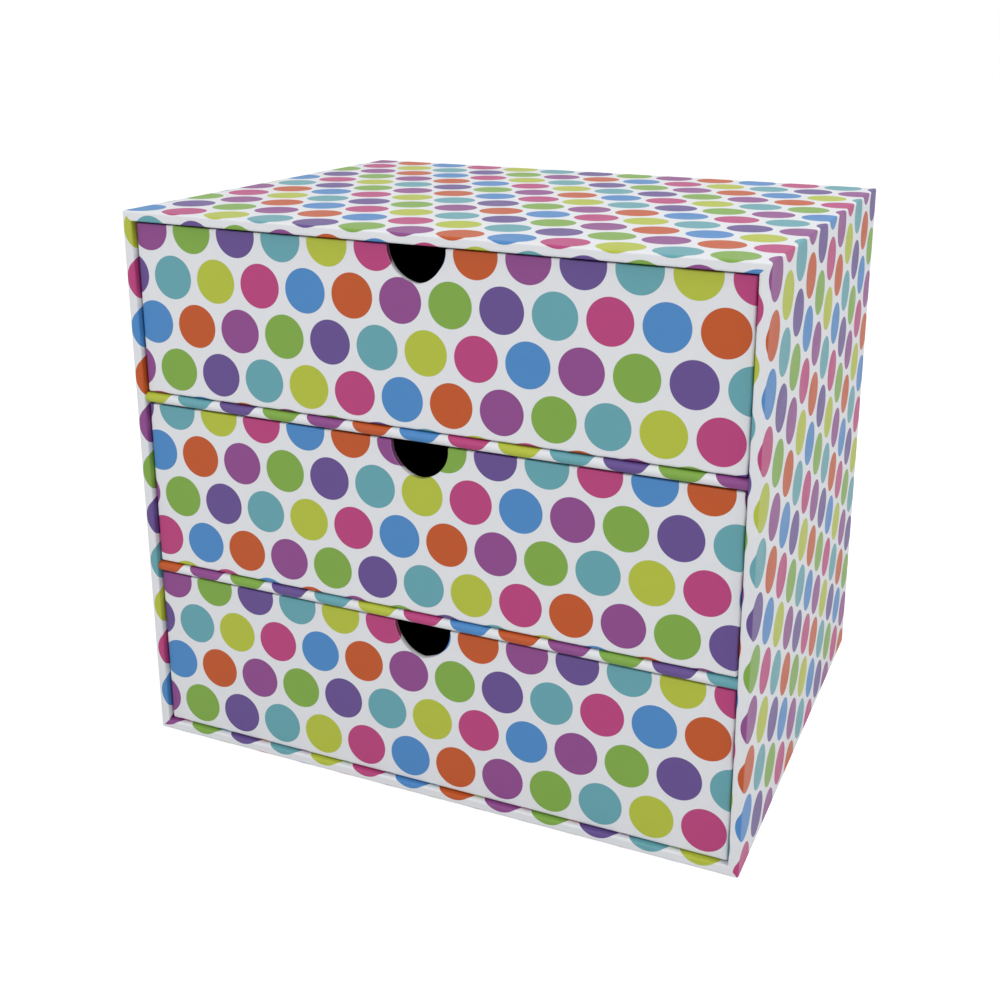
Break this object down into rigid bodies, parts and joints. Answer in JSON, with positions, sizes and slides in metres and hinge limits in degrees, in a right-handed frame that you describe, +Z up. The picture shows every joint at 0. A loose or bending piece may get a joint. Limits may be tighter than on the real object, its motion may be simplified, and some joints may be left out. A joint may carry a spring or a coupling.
{
  "type": "drawer organizer",
  "caption": "Box-shaped paper-covered case with stacked pull-out drawers for paper and craft supplies, each with a half-round thumb notch, in a multicoloured polka-dot print.",
  "frame": {"origin": "centre of the underside, on the surface that the case stands on", "axes": "+Z up, +X to the right seen from the drawers, the drawers open towards -Y"},
  "size_m": [0.33, 0.259, 0.29],
  "materials": {
    "dotted_paper": "printed art paper with a matt film, white with dots in eight colours",
    "black_paper": "matt black lining paper",
    "base_paper": "uncoated white paper",
    "greyboard": "recycled pressed board with fine flecks"
  },
  "bodies": {
    "case": {"case_bottom_board": "greyboard", "case_top_board": "greyboard", "case_left_board": "greyboard", "case_right_board": "greyboard", "case_back_board": "greyboard", "floor_ply": "greyboard", "roof_ply": "greyboard", "left_spacer_lower": "greyboard", "right_spacer_lower": "greyboard", "left_spacer_middle": "greyboard", "right_spacer_middle": "greyboard", "left_spacer_upper": "greyboard", "right_spacer_upper": "greyboard", "lower_shelf_board": "greyboard", "upper_shelf_board": "greyboard", "case_wrap": "dotted_paper", "back_paper": "dotted_paper", "base_paper": "base_paper", "lower_shelf_wrap": "dotted_paper", "upper_shelf_wrap": "dotted_paper", "bay_lining_lower": "black_paper", "bay_lining_middle": "black_paper", "bay_lining_upper": "black_paper"},
    "lower_drawer": {"lower_drawer_front_board": "greyboard", "lower_drawer_back_board": "greyboard", "lower_drawer_left_board": "greyboard", "lower_drawer_right_board": "greyboard", "lower_drawer_bottom_board": "greyboard", "lower_drawer_wrap": "dotted_paper", "lower_drawer_lining": "black_paper", "lower_drawer_base_paper": "black_paper"},
    "middle_drawer": {"middle_drawer_front_board": "greyboard", "middle_drawer_back_board": "greyboard", "middle_drawer_left_board": "greyboard", "middle_drawer_right_board": "greyboard", "middle_drawer_bottom_board": "greyboard", "middle_drawer_wrap": "dotted_paper", "middle_drawer_lining": "black_paper", "middle_drawer_base_paper": "black_paper"},
    "upper_drawer": {"upper_drawer_front_board": "greyboard", "upper_drawer_back_board": "greyboard", "upper_drawer_left_board": "greyboard", "upper_drawer_right_board": "greyboard", "upper_drawer_bottom_board": "greyboard", "upper_drawer_wrap": "dotted_paper", "upper_drawer_lining": "black_paper", "upper_drawer_base_paper": "black_paper"}
  },
  "joints": [
    {"name": "lower_drawer_slide", "type": "slide", "parent": "case", "child": "lower_drawer", "axis": [0, -1, 0], "range_m": [0, 0.205]},
    {"name": "middle_drawer_slide", "type": "slide", "parent": "case", "child": "middle_drawer", "axis": [0, -1, 0], "range_m": [0, 0.205]},
    {"name": "upper_drawer_slide", "type": "slide", "parent": "case", "child": "upper_drawer", "axis": [0, -1, 0], "range_m": [0, 0.205]}
  ]
}
